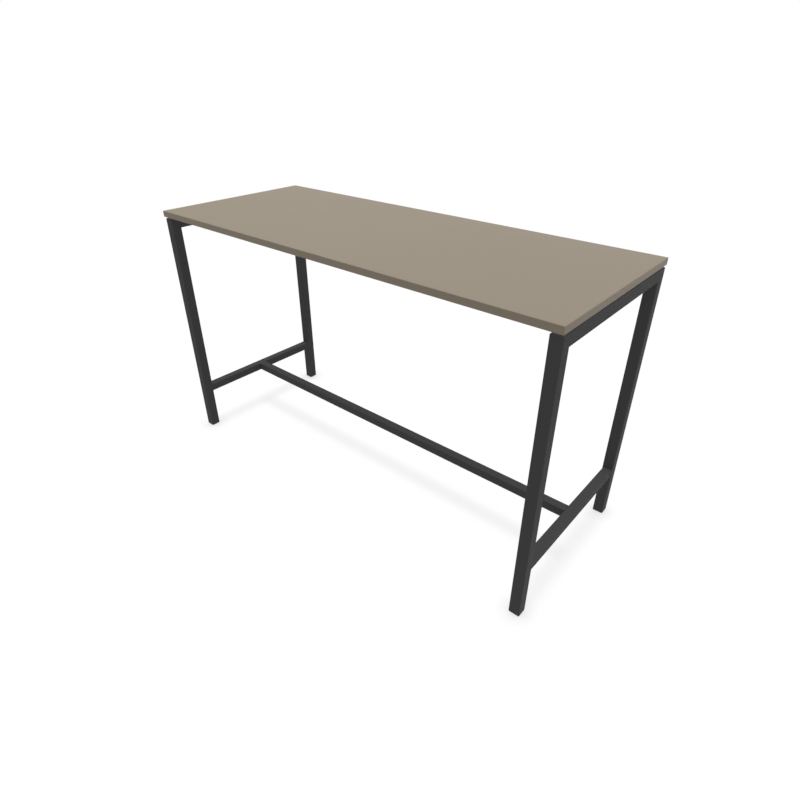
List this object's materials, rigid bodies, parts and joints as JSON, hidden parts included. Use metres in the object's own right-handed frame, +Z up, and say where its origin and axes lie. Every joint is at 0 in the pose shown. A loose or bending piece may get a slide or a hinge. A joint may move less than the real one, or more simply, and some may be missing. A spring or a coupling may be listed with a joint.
{
  "type": "standing meeting table",
  "caption": "Standing-height meeting table: thick laminate board on two square-tube end frames with a shadow gap, low crossbars and stretcher, and screw-adjusted levelling feet.",
  "frame": {"origin": "on the floor under the middle of the table", "axes": "+X along the table's length, to the right as seen from the front; +Y from the front edge to the rear edge; +Z up"},
  "size_m": [1.8, 0.709, 1.05],
  "materials": {
    "tabletop_laminate": "matt warm grey laminate with a fine fleck on chipboard",
    "edge_band": "matt edge band in the laminate's colour, softly rounded",
    "coated_steel": "charcoal powder coat, fine texture, matt",
    "black_nylon": "moulded black nylon, matt",
    "spacer_nylon": "black nylon, matt",
    "zinc_steel": "bright zinc plating, satin",
    "black_screws": "black oxide, satin"
  },
  "bodies": {
    "table": {"edge_band_front": "edge_band", "edge_band_left": "edge_band", "edge_band_rear": "edge_band", "edge_band_right": "edge_band", "front_beam": "coated_steel", "front_beam_inserts": "zinc_steel", "front_beam_left_plate": "coated_steel", "front_beam_right_plate": "coated_steel", "front_beam_screws": "black_screws", "left_beam_bolts": "black_screws", "left_crossbar": "coated_steel", "left_front_foot_nut": "zinc_steel", "left_front_foot_plug": "black_nylon", "left_front_leg": "coated_steel", "left_rail_inserts": "zinc_steel", "left_rail_screws": "black_screws", "left_rear_foot_nut": "zinc_steel", "left_rear_foot_plug": "black_nylon", "left_rear_leg": "coated_steel", "left_rivet_nuts": "zinc_steel", "left_spigot": "coated_steel", "left_spigot_nuts": "zinc_steel", "left_stretcher_screws": "black_screws", "left_top_rail": "coated_steel", "left_top_spacers": "spacer_nylon", "rear_beam": "coated_steel", "rear_beam_inserts": "zinc_steel", "rear_beam_left_plate": "coated_steel", "rear_beam_right_plate": "coated_steel", "rear_beam_screws": "black_screws", "right_beam_bolts": "black_screws", "right_crossbar": "coated_steel", "right_front_foot_nut": "zinc_steel", "right_front_foot_plug": "black_nylon", "right_front_leg": "coated_steel", "right_rail_inserts": "zinc_steel", "right_rail_screws": "black_screws", "right_rear_foot_nut": "zinc_steel", "right_rear_foot_plug": "black_nylon", "right_rear_leg": "coated_steel", "right_rivet_nuts": "zinc_steel", "right_spigot": "coated_steel", "right_spigot_nuts": "zinc_steel", "right_stretcher_screws": "black_screws", "right_top_rail": "coated_steel", "right_top_spacers": "spacer_nylon", "stretcher": "coated_steel", "tabletop_core": "tabletop_laminate"},
    "left_front_pad": {"left_front_foot_pad": "black_nylon"},
    "left_front_stud": {"left_front_foot_stud": "zinc_steel"},
    "left_rear_pad": {"left_rear_foot_pad": "black_nylon"},
    "left_rear_stud": {"left_rear_foot_stud": "zinc_steel"},
    "right_front_pad": {"right_front_foot_pad": "black_nylon"},
    "right_front_stud": {"right_front_foot_stud": "zinc_steel"},
    "right_rear_pad": {"right_rear_foot_pad": "black_nylon"},
    "right_rear_stud": {"right_rear_foot_stud": "zinc_steel"}
  },
  "joints": [
    {"name": "left_front_foot_height", "type": "slide", "parent": "table", "child": "left_front_pad", "axis": [0, 0, -1], "range_m": [0, 0.012]},
    {"name": "left_front_foot_turn", "type": "hinge", "parent": "left_front_pad", "child": "left_front_stud", "pos_m": [-0.8795, -0.3285, 0], "axis": [0, 0, -1], "range_deg": [0, 2880]},
    {"name": "left_rear_foot_height", "type": "slide", "parent": "table", "child": "left_rear_pad", "axis": [0, 0, -1], "range_m": [0, 0.012]},
    {"name": "left_rear_foot_turn", "type": "hinge", "parent": "left_rear_pad", "child": "left_rear_stud", "pos_m": [-0.8795, 0.3285, 0], "axis": [0, 0, -1], "range_deg": [0, 2880]},
    {"name": "right_front_foot_height", "type": "slide", "parent": "table", "child": "right_front_pad", "axis": [0, 0, -1], "range_m": [0, 0.012]},
    {"name": "right_front_foot_turn", "type": "hinge", "parent": "right_front_pad", "child": "right_front_stud", "pos_m": [0.8795, -0.3285, 0], "axis": [0, 0, -1], "range_deg": [0, 2880]},
    {"name": "right_rear_foot_height", "type": "slide", "parent": "table", "child": "right_rear_pad", "axis": [0, 0, -1], "range_m": [0, 0.012]},
    {"name": "right_rear_foot_turn", "type": "hinge", "parent": "right_rear_pad", "child": "right_rear_stud", "pos_m": [0.8795, 0.3285, 0], "axis": [0, 0, -1], "range_deg": [0, 2880]}
  ],
  "couplings": [
    {"joint": "left_front_foot_turn", "follows": "left_front_foot_height", "rad_per_m": 4188.8},
    {"joint": "left_rear_foot_turn", "follows": "left_rear_foot_height", "rad_per_m": 4188.8},
    {"joint": "right_front_foot_turn", "follows": "right_front_foot_height", "rad_per_m": 4188.8},
    {"joint": "right_rear_foot_turn", "follows": "right_rear_foot_height", "rad_per_m": 4188.8}
  ]
}
